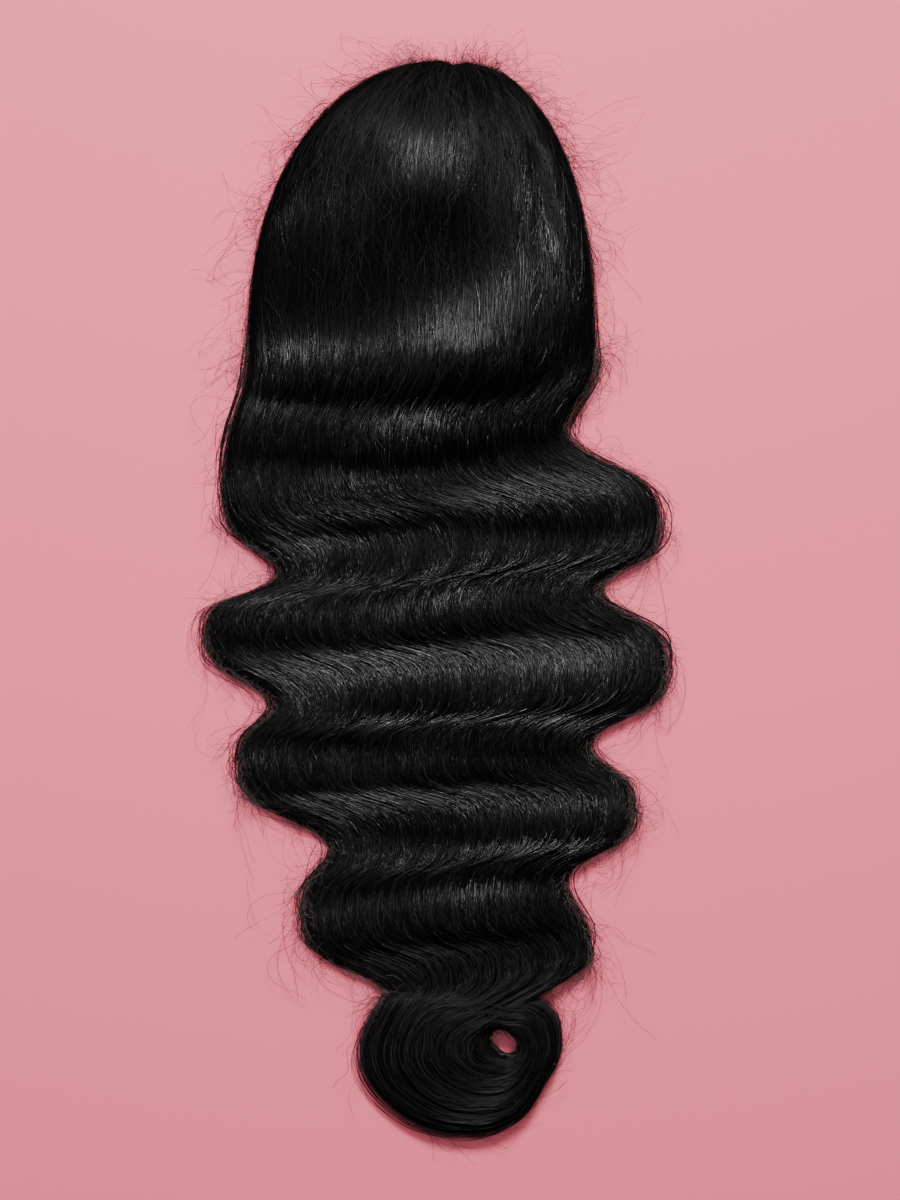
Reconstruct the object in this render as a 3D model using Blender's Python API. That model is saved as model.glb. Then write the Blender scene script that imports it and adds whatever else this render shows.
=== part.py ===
"""A long body-wave wig, resting on its cap opening with all its hair swept back along the table.

+Y points at the front hairline and -Y at the tips, +X is right seen from above, +Z is up.
The origin is the middle of the footprint, on the table. Lengths are in metres.
"""

import math

import bmesh
import bpy
from mathutils import Vector

# Whole wig
WIG_LENGTH = 0.795
WAVE_SPAN = 0.336
HEAD_OFFSET = -0.011
PARTING_OFFSET = 0.024

# Cap: its rim is 557 mm round, a 22 inch head
CAP_WIDTH = 0.162
CAP_DEPTH = 0.192
CAP_HEIGHT = 0.072
CAP_WALL = 0.0015
CAP_OFFSET = -0.007
LACE_DEPTH = 0.060

# Hair round the cap, from the cap's outside to the hair's
FRONT_HAIR = 0.012
SIDE_HAIR = 0.046
TOP_HAIR = 0.020
NAPE_HAIR = 0.009
NAPE_HEIGHT = 0.060
NAPE_EASE = 2.5
SIDE_PARTING = 0.010
PARTING_DIP = 0.005
PARTING_WIDTH = 0.012

# Hair beyond the cap
WAVE_THICKNESS = 0.036
RIDGE_DEPTH = 0.006
LOCK_GROOVE = 0.006
LOCK_GROOVE_WIDTH = 0.045
CURL_RADIUS = 0.1067
CURL_THICKNESS = 0.027
CURL_GROOVE = 0.005
EYE_RADIUS = 0.0085

# Space between neighbouring solids, and the distance within which vertices are one
SEAT_GAP = 0.0004
SAME_POINT = 1e-7

# Curvature of the rounded outlines: 2 is an ellipse and more is squarer
HEADLINE_POWER = 2.2
DOME_POWER = 2.2
SHEET_POWER = 2.6
CAP_POWER = 2.5
CAP_EGG = 0.08
SEAT_BLEND = 4

# The waves' edges: less than 1 makes the lobes fuller than the notches between them, and more
# than 0 makes the way from one to the other steeper than a sine
LOBE_FULLNESS = 0.72
LOBE_STEEPNESS = 0.07

# Height of the widest point of the hair's edge, as a share of its thickness, and the
# underside of the first columns in from that edge, as shares of that height
EDGE_LIFT = 0.2
UNDERCUT = (1.0, 0.35, 0.0)

# The crests of the waves: where the left and right edges turn, down the length as a share of
# the hair beyond the cap and sideways as a share of the span, with the thickness there.
# The left edge bulges at the even rows and the right edge at the odd ones.
WAVES = (
    # left_along, left_side, right_along, right_side, thickness
    (0.172, -0.465, 0.104, 0.278, 1.17),
    (0.283, -0.341, 0.218, 0.485, 1.00),
    (0.357, -0.500, 0.306, 0.344, 0.94),
    (0.450, -0.350, 0.403, 0.500, 0.89),
    (0.529, -0.427, 0.503, 0.324, 0.83),
    (0.633, -0.225, 0.586, 0.423, 0.78),
    (0.720, -0.286, 0.676, 0.273, 0.72),
    (0.815, -0.108, 0.777, 0.333, 0.68),
)
SEAT_STATION = len(WAVES) + 2
SEAT_THICKNESS = 0.64
FIRST_DIP = 0.62

# The end curl round its eye, which lies a share of the curl's radius from the wig's end and a
# share of the span to the right: direction in degrees from +X, reach as a share of its radius
EYE_FROM_END = 0.640
EYE_SIDE = 0.150
CURL_EDGE = (
    # direction, reach
    (60, 0.360),
    (90, 0.312),
    (120, 0.430),
    (140, 0.610),
    (158, 0.840),
    (186, 1.000),
    (214, 0.880),
    (241, 0.725),
    (270, 0.580),
    (312, 0.395),
    (360, 0.382),
    (391, 0.400),
    (420, 0.360),
)
SEAT_START, SEAT_END = 158, 60
EYE_STRETCH = 0.22
EYE_DIRECTION = 135
CURL_TURNS = 2
CURL_INNER_SHARE = 0.75

# Mesh density
COLUMNS = 32
CROWN_ROWS = 20
ROWS_PER_WAVE = 8
SEAT_ROWS = 4
CURL_STEPS = 34
CURL_RINGS = 10
CAP_MERIDIANS = 32
CAP_RINGS = 8
SHARP_ANGLE = 40

# The grooves between the locks, which run the whole length of the hair
GROOVES = (
    # across, depth
    (0.156, 0.8),
    (0.281, 0.6),
    (0.406, 1.0),
    (0.562, 0.7),
    (0.688, 1.0),
    (0.844, 0.9),
)

HAIR_COLOUR = (0.012, 0.010, 0.010, 1.0)
LACE_COLOUR = (0.30, 0.19, 0.15, 1.0)
NET_COLOUR = (0.03, 0.025, 0.025, 1.0)

FRONT_Y = WIG_LENGTH / 2
HEAD_HALF = CAP_WIDTH / 2 + SIDE_HAIR
HEAD_REACH = FRONT_HAIR + CAP_DEPTH + NAPE_HAIR
CROWN_HEIGHT = CAP_HEIGHT + TOP_HAIR
APEX_REACH = FRONT_HAIR + CAP_DEPTH / 2
WAVE_LENGTH = WIG_LENGTH - HEAD_REACH
PARTING_X = HEAD_OFFSET + PARTING_OFFSET


def mix(first, second, share):
    return first + (second - first) * share


def arch(angle, power):
    """(across, up) on a squared half ellipse: angle 0 is its left foot and pi its right."""
    turned = math.cos(angle)
    across = math.copysign(abs(turned) ** (2 / power), turned)
    return (1 - across) / 2, max(0.0, math.sin(angle)) ** (2 / power)


def smooth(values, position):
    """Catmull-Rom curve through evenly spaced values, read at a position among them."""
    start = min(int(position), len(values) - 2)
    share = position - start
    before = values[max(start - 1, 0)]
    first, second = values[start], values[start + 1]
    after = values[min(start + 2, len(values) - 1)]
    slope_in = (second - before) / 2
    slope_out = (after - first) / 2
    bend = 3 * (second - first) - 2 * slope_in - slope_out
    twist = 2 * (first - second) + slope_in + slope_out
    return first + share * (slope_in + share * (bend + share * twist))


def leave_lobe(share, fullness):
    """Way from a lobe, 0, to a notch, 1."""
    left = (1 - share) ** fullness
    steep = left - LOBE_STEEPNESS * math.sin(2 * math.pi * left)
    return (1 + math.cos(math.pi * steep)) / 2


def wave_share(share, from_lobe, fullness):
    return leave_lobe(share, fullness) if from_lobe else 1 - leave_lobe(1 - share, fullness)


def crest_columns():
    """The turning points of both edges from the head's widest row on, in metres."""
    left_x = [HEAD_OFFSET - HEAD_HALF] + [row[1] * WAVE_SPAN for row in WAVES]
    right_x = [HEAD_OFFSET + HEAD_HALF] + [row[3] * WAVE_SPAN for row in WAVES]
    left_reach = [0.0] + [row[0] * WAVE_LENGTH for row in WAVES]
    right_reach = [0.0] + [row[2] * WAVE_LENGTH for row in WAVES]
    return left_x, left_reach, right_x, right_reach


CRESTS = crest_columns()


def eye_centre():
    return Vector((EYE_SIDE * WAVE_SPAN, FRONT_Y - WIG_LENGTH + EYE_FROM_END * CURL_RADIUS))


def curl_reach(direction):
    """Distance from the eye's centre to the curl's outer edge, in metres."""
    turned = SEAT_END + (direction - SEAT_END) % 360
    last = len(CURL_EDGE) - 2
    start = max(i for i in range(last + 1) if CURL_EDGE[i][0] <= turned)
    angles = [row[0] for row in CURL_EDGE]
    reaches = [row[1] for row in CURL_EDGE]
    share = (turned - angles[start]) / (angles[start + 1] - angles[start])
    before = reaches[start - 1] if start else reaches[last]
    after = reaches[start + 2] if start < last else reaches[1]
    return CURL_RADIUS * smooth([before, reaches[start], reaches[start + 1], after], 1 + share)


def on_curl(direction, distance):
    turn = math.radians(direction)
    return eye_centre() + distance * Vector((math.cos(turn), math.sin(turn)))


def seat_direction(across):
    return mix(SEAT_START, SEAT_END, across)


def head_plan(station, across):
    """Plan position on the head part, whose strands fan out from the parting."""
    turn = station * math.pi / 2
    spread = math.sin(turn) ** (2 / HEADLINE_POWER)
    reach = HEAD_REACH * (1 - max(0.0, math.cos(turn)) ** (2 / HEADLINE_POWER))
    left = mix(PARTING_X, HEAD_OFFSET - HEAD_HALF, spread)
    right = mix(PARTING_X, HEAD_OFFSET + HEAD_HALF, spread)
    x = mix(left, right, across)
    beside = max(0.0, 1 - abs(x - PARTING_X) / PARTING_WIDTH)
    behind = max(0.0, 1 - reach / (2 * PARTING_WIDTH))
    return Vector((x, FRONT_Y - reach - PARTING_DIP * beside**2 * behind))


def wave_plan(station, across):
    """Plan position on the waves: both edges swing, and the strands between follow them.
    The left edge runs on smoothly from the head, and the rest are lobes and notches."""
    left_x, left_reach, right_x, right_reach = CRESTS
    place = station - 1
    start = min(int(place), len(WAVES) - 1)
    share = place - start
    fullness = mix(1.0, LOBE_FULLNESS, abs(2 * across - 1))
    left_share = wave_share(share, start % 2 == 1, fullness if start else 1.0)
    right_share = wave_share(share, start % 2 == 0, fullness)
    left = mix(left_x[start], left_x[start + 1], left_share)
    right = mix(right_x[start], right_x[start + 1], right_share)
    reach = mix(smooth(left_reach, place), smooth(right_reach, place), across)
    return Vector((mix(left, right, across), FRONT_Y - HEAD_REACH - reach))


def seat_plan(station, across):
    """Plan position between the last crest and the curl that the waves flow into."""
    share = station - (SEAT_STATION - 1)
    crest = wave_plan(SEAT_STATION - 1, across)
    direction = seat_direction(across)
    seat = on_curl(direction, curl_reach(direction) + SEAT_GAP)
    sideways = leave_lobe(share, LOBE_FULLNESS)
    return Vector((mix(crest.x, seat.x, sideways), mix(crest.y, seat.y, share)))


def plan(station, across):
    """Plan position of a strand: station 0 is the parting, 1 the head's widest row, then one
    station for each crest of the waves, and the last where they enter the curl."""
    if station <= 1:
        return head_plan(station, across)
    if station <= SEAT_STATION - 1:
        return wave_plan(station, across)
    return seat_plan(station, across)


def valley(station):
    """Depth of the dips between the crests, from 0 at a crest to 1 midway between two."""
    if station <= 1:
        share = max(0.0, (station - FIRST_DIP) / (1 - FIRST_DIP))
        return (1 - math.cos(2 * math.pi * share)) / 2
    return (1 - math.cos(2 * math.pi * station)) / 2


def thickness(station):
    """Height of the hair's top along its middle."""
    if station <= 1:
        turn = station * math.pi / 2
        reach = HEAD_REACH * (1 - max(0.0, math.cos(turn)) ** (2 / HEADLINE_POWER))
        climb = min(1.0, reach / APEX_REACH)
        rise = (1 - (1 - climb) ** DOME_POWER) ** (1 / DOME_POWER)
        fall = max(0.0, (reach - APEX_REACH) / (HEAD_REACH - APEX_REACH))
        sag = fall**2 * mix(NAPE_EASE, 1.0, fall)
        full = CROWN_HEIGHT * rise - (CROWN_HEIGHT - NAPE_HEIGHT) * sag
    else:
        shares = [row[4] for row in WAVES] + [SEAT_THICKNESS]
        full = smooth([NAPE_HEIGHT] + [share * WAVE_THICKNESS for share in shares], station - 1)
    return full - RIDGE_DEPTH * valley(station)


def groove(share, station):
    """Depth of the grooves between the locks, which deepen from the parting on."""
    near = sum(depth * max(0.0, 1 - abs(share - at) / LOCK_GROOVE_WIDTH) for at, depth in GROOVES)
    return LOCK_GROOVE * near * min(1.0, station)


def section_power(station):
    return mix(DOME_POWER, SHEET_POWER, min(1.0, max(0.0, station - 1)))


def section(station, forward=0.0):
    """Columns of one cross-section, left to right, as (top, underside) points."""
    height = thickness(station)
    lift = EDGE_LIFT * height
    columns = []
    for column in range(COLUMNS + 1):
        share = column / COLUMNS
        across, up = arch(math.pi * share, section_power(station))
        place = plan(station, across)
        inward = min(column, COLUMNS - column)
        top = mix(lift, height, up) - groove(share, station) * up
        under = lift * UNDERCUT[min(inward, len(UNDERCUT) - 1)]
        at = (place.x, place.y + forward)
        columns.append((Vector((*at, top)), Vector((*at, under))))
    return columns


def new_material(name, colour, roughness):
    material = bpy.data.materials.new(name)
    material.use_nodes = True
    shader = material.node_tree.nodes["Principled BSDF"]
    shader.inputs["Base Color"].default_value = colour
    shader.inputs["Roughness"].default_value = roughness
    shader.inputs["Metallic"].default_value = 0.0
    return material


def add_object(name, shape, material):
    """Turns a bmesh into a named object with outward faces and smooth shading."""
    bmesh.ops.remove_doubles(shape, verts=shape.verts, dist=SAME_POINT)
    bmesh.ops.recalc_face_normals(shape, faces=shape.faces)
    mesh = bpy.data.meshes.new(name)
    shape.to_mesh(mesh)
    shape.free()
    mesh.shade_smooth()
    mesh.set_sharp_from_angle(angle=math.radians(SHARP_ANGLE))
    mesh.materials.append(material)
    made = bpy.data.objects.new(name, mesh)
    bpy.context.scene.collection.objects.link(made)
    return made


def keep_behind(shape, point, normal):
    """Cuts a closed shape by a plane, keeps what lies behind it and closes the cut."""
    everything = shape.verts[:] + shape.edges[:] + shape.faces[:]
    cut = bmesh.ops.bisect_plane(
        shape, geom=everything, plane_co=point, plane_no=normal, clear_outer=True
    )
    rim = [part for part in cut["geom_cut"] if isinstance(part, bmesh.types.BMEdge)]
    bmesh.ops.edgeloop_fill(shape, edges=rim)


def add_strip(shape, first, second):
    """Joins two rows of vertices, which may share some, with quads and triangles."""
    for i in range(len(first) - 1):
        corners = []
        for vertex in (first[i], first[i + 1], second[i + 1], second[i]):
            if vertex not in corners:
                corners.append(vertex)
        if len(corners) > 2:
            shape.faces.new(corners)


def sheet_of_hair(sections, pointed):
    """A closed sheet: its top, its tucked edges, a flat underside and its end walls.
    A pointed sheet starts at a single vertex."""
    shape = bmesh.new()
    inner = len(UNDERCUT) - 1
    tops, unders = [], []
    for number, columns in enumerate(sections):
        if pointed and number == 0:
            tip = shape.verts.new(columns[0][0])
            tops.append([tip] * len(columns))
            unders.append([tip] * len(columns))
            continue
        top = [shape.verts.new(column[0]) for column in columns]
        at_end = number in (0, len(sections) - 1)
        under = []
        for place, column in enumerate(columns):
            inward = min(place, len(columns) - 1 - place)
            if inward == 0:
                under.append(top[place])
            elif inward <= inner or at_end:
                under.append(shape.verts.new(column[1]))
            else:
                under.append(None)
        tops.append(top)
        unders.append(under)
    for first, second in zip(tops, tops[1:]):
        add_strip(shape, first, second)
    for first, second in zip(unders, unders[1:]):
        add_strip(shape, first[: inner + 1], second[: inner + 1])
        add_strip(shape, first[-inner - 1 :], second[-inner - 1 :])
    for end in (0, -1):
        add_strip(shape, tops[end], unders[end])
    left = [under[inner] for under in unders]
    right = [under[-inner - 1] for under in unders]
    outline = left + unders[-1][inner + 1 : -inner - 1] + right[::-1]
    outline += unders[0][inner + 1 : -inner - 1][::-1]
    shape.faces.new(list(dict.fromkeys(outline)))
    return shape


def head_hair():
    stations = [row / CROWN_ROWS for row in range(CROWN_ROWS + 1)]
    return sheet_of_hair([section(station) for station in stations], pointed=True)


def cap_point(inset, turn, climb):
    """A point of the egg-shaped cap: turn goes round it and climb from its rim to its top."""
    ring, up = math.cos(climb) ** (2 / CAP_POWER), math.sin(climb) ** (2 / CAP_POWER)
    forward = math.sin(turn) * ring
    half_width = (CAP_WIDTH / 2 - inset) * (1 - CAP_EGG * forward)
    x = CAP_OFFSET + half_width * math.cos(turn) * ring
    y = FRONT_Y - APEX_REACH + (CAP_DEPTH / 2 - inset) * forward
    return Vector((x, y, (CAP_HEIGHT - inset) * up))


def cap_rings(shape, inset):
    """Rings of vertices from the rim up, ending with the top's single vertex."""
    rings = []
    for level in range(CAP_RINGS):
        climb = math.pi / 2 * level / CAP_RINGS
        turns = [2 * math.pi * step / CAP_MERIDIANS for step in range(CAP_MERIDIANS)]
        ring = [shape.verts.new(cap_point(inset, turn, climb)) for turn in turns]
        rings.append(ring + ring[:1])
    top = shape.verts.new(cap_point(inset, 0, math.pi / 2))
    rings.append([top] * (CAP_MERIDIANS + 1))
    for first, second in zip(rings, rings[1:]):
        add_strip(shape, first, second)
    return rings


def cap_shell():
    """The hollow cap, open at its rim."""
    shape = bmesh.new()
    outside = cap_rings(shape, 0.0)
    inside = cap_rings(shape, CAP_WALL)
    add_strip(shape, outside[0], inside[0])
    return shape


def cap_cutter():
    """A solid the size of the cap and its clearance, reaching below the table."""
    shape = bmesh.new()
    rim = cap_rings(shape, -SEAT_GAP)[0]
    below = [shape.verts.new(vertex.co - Vector((0, 0, CAP_WALL * 2))) for vertex in rim[:-1]]
    add_strip(shape, rim, below + below[:1])
    shape.faces.new(below)
    cutter = add_object("cap_cutter", shape, new_material("cutter", NET_COLOUR, 1.0))
    cutter.hide_render = True
    cutter.display_type = "WIRE"
    return cutter


def add_cap(lace, net):
    """The lace front and the wefted back, which meet at a seam from ear to ear."""
    seam_y = FRONT_Y - FRONT_HAIR - LACE_DEPTH
    front = cap_shell()
    keep_behind(front, Vector((0, seam_y + SEAT_GAP / 2, 0)), Vector((0, -1, 0)))
    add_object("lace_front", front, lace)
    back = cap_shell()
    keep_behind(back, Vector((0, seam_y - SEAT_GAP / 2, 0)), Vector((0, 1, 0)))
    add_object("weft_cap", back, net)


def add_head_hair(hair):
    """The crown hair over the cap, and the hair that falls past each temple."""
    side_x = CAP_WIDTH / 2 * (1 + CAP_EGG) + SIDE_PARTING
    left_x, right_x = CAP_OFFSET - side_x, CAP_OFFSET + side_x
    left = head_hair()
    keep_behind(left, Vector((left_x - SEAT_GAP / 2, 0, 0)), Vector((1, 0, 0)))
    add_object("left_side_hair", left, hair)
    right = head_hair()
    keep_behind(right, Vector((right_x + SEAT_GAP / 2, 0, 0)), Vector((-1, 0, 0)))
    add_object("right_side_hair", right, hair)
    middle = head_hair()
    keep_behind(middle, Vector((left_x + SEAT_GAP / 2, 0, 0)), Vector((-1, 0, 0)))
    keep_behind(middle, Vector((right_x - SEAT_GAP / 2, 0, 0)), Vector((1, 0, 0)))
    crown = add_object("crown_hair", middle, hair)
    hollow = crown.modifiers.new("cap_hollow", "BOOLEAN")
    hollow.operation = "DIFFERENCE"
    hollow.solver = "EXACT"
    hollow.object = cap_cutter()


def add_back_waves(hair):
    rows = ROWS_PER_WAVE
    stations = [1 + row / rows for row in range(len(WAVES) * rows + 1)]
    stations += [SEAT_STATION - 1 + row / SEAT_ROWS for row in range(1, SEAT_ROWS + 1)]
    sections = [section(stations[0], forward=-SEAT_GAP)]
    sections += [section(station) for station in stations[1:]]
    add_object("back_waves", sheet_of_hair(sections, pointed=False), hair)


def curl_directions():
    """Round the curl once: the columns of the seat first, then even steps."""
    seat = [arch(math.pi * column / COLUMNS, SHEET_POWER)[0] for column in range(COLUMNS + 1)]
    directions = [seat_direction(across) for across in reversed(seat)]
    free = 360 - (SEAT_START - SEAT_END)
    return directions + [SEAT_START + free * step / CURL_STEPS for step in range(1, CURL_STEPS)]


def in_seat(direction):
    """1 where the waves run into the curl, 0 away from there."""
    middle, half = (SEAT_START + SEAT_END) / 2, (SEAT_START - SEAT_END) / 2
    apart = abs((direction - middle + 180) % 360 - 180) / half
    return max(0.0, 1 - apart**SEAT_BLEND)


def eye_reach(direction):
    swing = math.cos(math.radians(2 * (direction - EYE_DIRECTION)))
    return EYE_RADIUS * (1 + EYE_STRETCH * swing)


def coil_groove(direction, share):
    """Depth of the groove that winds out from the eye, between the turns of the coil."""
    phase = 2 * math.pi * (CURL_TURNS * share + direction / 360)
    return CURL_GROOVE * (1 - math.cos(phase)) / 2 * (1 - in_seat(direction))


def add_end_curl(hair):
    """The last turn of the hair, coiled flat round an open eye."""
    shape = bmesh.new()
    radials = []
    for direction in curl_directions():
        inner, outer = eye_reach(direction), curl_reach(direction)
        height = CURL_THICKNESS * mix(CURL_INNER_SHARE, 1.0, outer / CURL_RADIUS)
        lift = EDGE_LIFT * height
        radial = []
        for ring in range(CURL_RINGS + 1):
            across, up = arch(math.pi * ring / CURL_RINGS, SHEET_POWER)
            dip = coil_groove(direction, ring / CURL_RINGS) * up
            if ring > CURL_RINGS / 2:
                up = mix(up, 1.0, in_seat(direction))
            place = on_curl(direction, mix(inner, outer, across))
            radial.append(shape.verts.new((*place, mix(lift, height, up) - dip)))
        for reach in (outer, inner):
            place = on_curl(direction, reach)
            radial.append(shape.verts.new((*place, 0.0)))
        radials.append(radial)
    for first, second in zip(radials, radials[1:] + radials[:1]):
        add_strip(shape, first + first[:1], second + second[:1])
    add_object("end_curl", shape, hair)


def clear_scene():
    for leftover in list(bpy.data.objects):
        bpy.data.objects.remove(leftover)


def main():
    clear_scene()
    hair = new_material("hair", HAIR_COLOUR, 0.35)
    lace = new_material("lace", LACE_COLOUR, 0.8)
    net = new_material("net", NET_COLOUR, 0.85)
    add_cap(lace, net)
    add_head_hair(hair)
    add_back_waves(hair)
    add_end_curl(hair)


main()
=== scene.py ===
"""The looks of a long body-wave wig: its hair, its cap, the floor, the light and the camera."""

import math

import bpy
import numpy as np
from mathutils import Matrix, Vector


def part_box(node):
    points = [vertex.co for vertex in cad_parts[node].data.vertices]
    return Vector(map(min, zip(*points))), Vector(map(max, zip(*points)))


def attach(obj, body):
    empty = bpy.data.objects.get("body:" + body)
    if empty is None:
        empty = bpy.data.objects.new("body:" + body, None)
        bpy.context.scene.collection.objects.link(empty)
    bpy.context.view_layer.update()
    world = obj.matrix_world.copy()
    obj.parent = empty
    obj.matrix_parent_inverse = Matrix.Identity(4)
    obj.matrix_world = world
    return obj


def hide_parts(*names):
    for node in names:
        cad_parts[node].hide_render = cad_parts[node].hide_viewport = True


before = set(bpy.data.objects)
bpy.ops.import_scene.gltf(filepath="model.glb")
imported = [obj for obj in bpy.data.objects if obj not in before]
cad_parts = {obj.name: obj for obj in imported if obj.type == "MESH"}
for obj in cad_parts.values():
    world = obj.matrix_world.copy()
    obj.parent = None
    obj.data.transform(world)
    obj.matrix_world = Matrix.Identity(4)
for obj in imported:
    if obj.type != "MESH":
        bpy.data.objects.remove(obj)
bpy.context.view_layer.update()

TURN = 2 * math.pi
random = np.random.default_rng(30)

# Whole wig, in metres, as in the frame
WIG_LENGTH = 0.795
WAVE_SPAN = 0.336
FRONT_Y = WIG_LENGTH / 2
HEAD_LEFT, HEAD_RIGHT = -0.138, 0.116
PARTING_X = 0.013
PARTING_DIP = 0.004
PARTING_WIDTH = 0.012
HEAD_REACH = 0.213
APEX_REACH = 0.108
CROWN_HEIGHT = 0.092
# The fall from the crown to the nape in even steps, as shares of the crown's height, and the
# shares of the breadth over which the left turns into the middle and the middle into the right
FALL_LEFT = (1.0, 0.985, 0.91, 0.80, 0.69, 0.61)
FALL_MIDDLE = (0.97, 0.90, 0.79, 0.70, 0.64, 0.61)
FALL_RIGHT = (0.85, 0.84, 0.80, 0.745, 0.68, 0.61)
LEFT_END, RIGHT_START, FALL_BLEND = 0.2, 0.5, 0.35
WAVE_LENGTH = WIG_LENGTH - HEAD_REACH
WAVE_THICKNESS = 0.036
UNDERSIDE = 0.0004

# Rounded outlines: 2 is an ellipse and more is squarer
HEADLINE_POWER = 2.2
DOME_POWER = 2.2
SHEET_POWER = 2.6
CAP_POWER = 2.5
CAP_EGG = 0.08
FRONT_POWER = 2.9
LOBE_FULLNESS = 0.72
LOBE_STEEPNESS = 0.07
EDGE_LIFT = 0.2
# Strands that stray past an edge sink by this share of their height within this share of the
# breadth
STRAY_DROP, STRAY_BREADTH = 0.9, 0.022

# How much the strands inside the sheet slow down midway between two crests, where they turn
# sideways
SWAY = 0.45

# The crests of the waves, as in the frame: shares of the length beyond the cap, of the span and
# of the thickness
WAVES = np.array([
    # left_along, left_side, right_along, right_side, thickness
    (0.172, -0.465, 0.104, 0.278, 1.17),
    (0.283, -0.341, 0.218, 0.485, 1.00),
    (0.357, -0.500, 0.306, 0.344, 0.94),
    (0.450, -0.350, 0.403, 0.500, 0.89),
    (0.529, -0.427, 0.503, 0.324, 0.83),
    (0.633, -0.225, 0.586, 0.423, 0.78),
    (0.720, -0.286, 0.676, 0.273, 0.72),
    (0.815, -0.108, 0.777, 0.333, 0.68),
])
END_THICKNESS = 0.64
LAST_CREST = len(WAVES) + 1
COIL_START = LAST_CREST + 1

# The ridges that catch the light: how far their tops lie from the front at the left end of the
# span, in its middle and at its right end, how broad their front slopes are at the left and the
# right, all as shares of the wig's length, how strong they are at the three places, and how much
# their front slopes steepen towards the top
RIDGES = np.array([
    # left, middle, right, left_breadth, right_breadth, left_rise, middle_rise, right_rise, skew
    (0.275, 0.286, 0.197, 0.036, 0.155, 1.1, 1.25, 1.30, 0.60),
    (0.346, 0.349, 0.296, 0.034, 0.072, 1.4, 1.4, 2.1, 0.6),
    (0.418, 0.416, 0.413, 0.040, 0.040, 0.7, 0.9, 0.9, 0.2),
    (0.478, 0.462, 0.453, 0.024, 0.024, 0.8, 0.4, 0.3, 0.2),
    (0.528, 0.521, 0.501, 0.025, 0.038, 1.1, 1.1, 1.1, 0.2),
    (0.602, 0.588, 0.580, 0.045, 0.045, 0.4, 0.9, 0.8, 0.2),
    (0.621, 0.625, 0.646, 0.023, 0.030, 0.6, 1.4, 1.5, 0.2),
    (0.664, 0.659, 0.649, 0.023, 0.023, 1.1, 1.2, 1.1, 0.2),
    (0.699, 0.704, 0.718, 0.023, 0.028, 0.5, 1.0, 1.1, 0.2),
    (0.757, 0.752, 0.745, 0.025, 0.025, 0.5, 0.9, 2.3, 0.2),
    (0.827, 0.801, 0.771, 0.034, 0.038, 1.3, 1.2, 1.2, 0.2),
    (0.874, 0.865, 0.850, 0.032, 0.032, 0.0, 0.1, 0.9, 0.2),
])
RIDGE_SLOPE = 0.20
# Their back slopes as a share of the front ones, and how much skew shortens them
RIDGE_BACK, BACK_LOSS = 0.60, 0.4
RIDGE_SINK = 0.004
# How far their tops wander and how unevenly they rise, each by a swing across the hair and a
# turn from one ridge to the next
RIDGE_WANDER, WANDER_SWING, WANDER_TURN = 0.0035, 5.3, 2.4
RIDGE_UNEVENNESS, UNEVEN_SWING, UNEVEN_TURN = 0.25, 7.1, 1.9

# The smooth mound on the crown, which catches the light by itself
MOUND_X, MOUND_Y = -0.0055, 0.300
MOUND_RISE = 0.0055
MOUND_FRONT, MOUND_BACK = 0.062, 0.045
MOUND_HALF, MOUND_FADE = 0.043, 0.032

# The crease beside the lock on the right, from its front end to its back end
CREASE_FRONT = np.array([0.0726, 0.312])
CREASE_BACK = np.array([0.0826, 0.268])
CREASE_DEPTH, CREASE_WIDTH, CREASE_END = 0.006, 0.0050, 0.020
# The lock beside it: its height as a share of that depth, and its place and breadth in widths
LOCK_RISE, LOCK_PLACE, LOCK_BREADTH = 0.55, 2.2, 1.6

# How much the hair gleams: little near the roots, which aren't combed so smooth. It is combed
# further forward on the right, by the third length
ROOT_GLEAM = 0.14
COMBED_FROM, COMBED_TO, COMBED_RIGHT = 0.085, 0.150, 0.035
RIGHT_FROM_X, RIGHT_FADE = 0.02, 0.04
LOCK_GLEAM = 1.8
CURL_GLEAM = 0.30
# The edges of the waves gleam less, over a ninth of the breadth
EDGE_GLEAM, EDGE_PARTS, EDGE_FROM_STATION = 0.5, 9, 0.8

# The locks: how many lie side by side, how much they gather their strands, their height as a
# share of the relief, and how they drift along the hair
LOCK_RELIEF = 0.0018
LOCKS = (
    # count, gather, height, drift, phase
    (4.3, 0.20, 0.40, 0.9, 0.4),
    (9.1, 0.35, 0.34, 1.3, 2.0),
    (19.7, 0.45, 0.16, 1.9, 4.1),
    (43.0, 0.45, 0.07, 2.6, 1.1),
)
LOCK_WANDER, LOCK_QUIVER, QUIVER_RATE = 0.30, 0.08, 2.3
# They gather less near the edges of the hair, over a twelfth of its breadth
GATHER_PARTS = 12

# The end curl round its eye
CURL_RADIUS = 0.1067
CURL_THICKNESS = 0.027
CURL_INNER_SHARE = 0.75
EYE_CENTRE = np.array([0.150 * WAVE_SPAN, -WIG_LENGTH / 2 + 0.640 * CURL_RADIUS])
EYE_RADIUS = 0.0085
EYE_STRETCH = 0.22
EYE_DIRECTION = 135
SEAT_END = 60
CURL_EDGE = np.array([
    # direction, reach
    (60, 0.360),
    (90, 0.312),
    (120, 0.430),
    (140, 0.610),
    (158, 0.840),
    (186, 1.000),
    (214, 0.880),
    (241, 0.725),
    (270, 0.580),
    (312, 0.395),
    (360, 0.382),
    (391, 0.400),
    (420, 0.360),
])
# The strands enter the coil in this direction and turn this much for each station. They start
# spread over this much of its breadth and wind slowly inwards, the inner ones faster
COIL_ENTRY = 172
COIL_STEP = 100
COIL_OUTSIDE, COIL_SPREAD, COIL_PACKING = 0.02, 0.76, 0.9
COIL_WIND, COIL_WIND_OUTSIDE = 0.11, 0.35
COIL_RELIEF, COIL_TURNS = 0.0010, 4.5
COIL_FINE_RELIEF, COIL_FINE_TURNS = 0.0006, 13
JOIN_PULL = 0.6
LAST_STATION = 16

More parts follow.
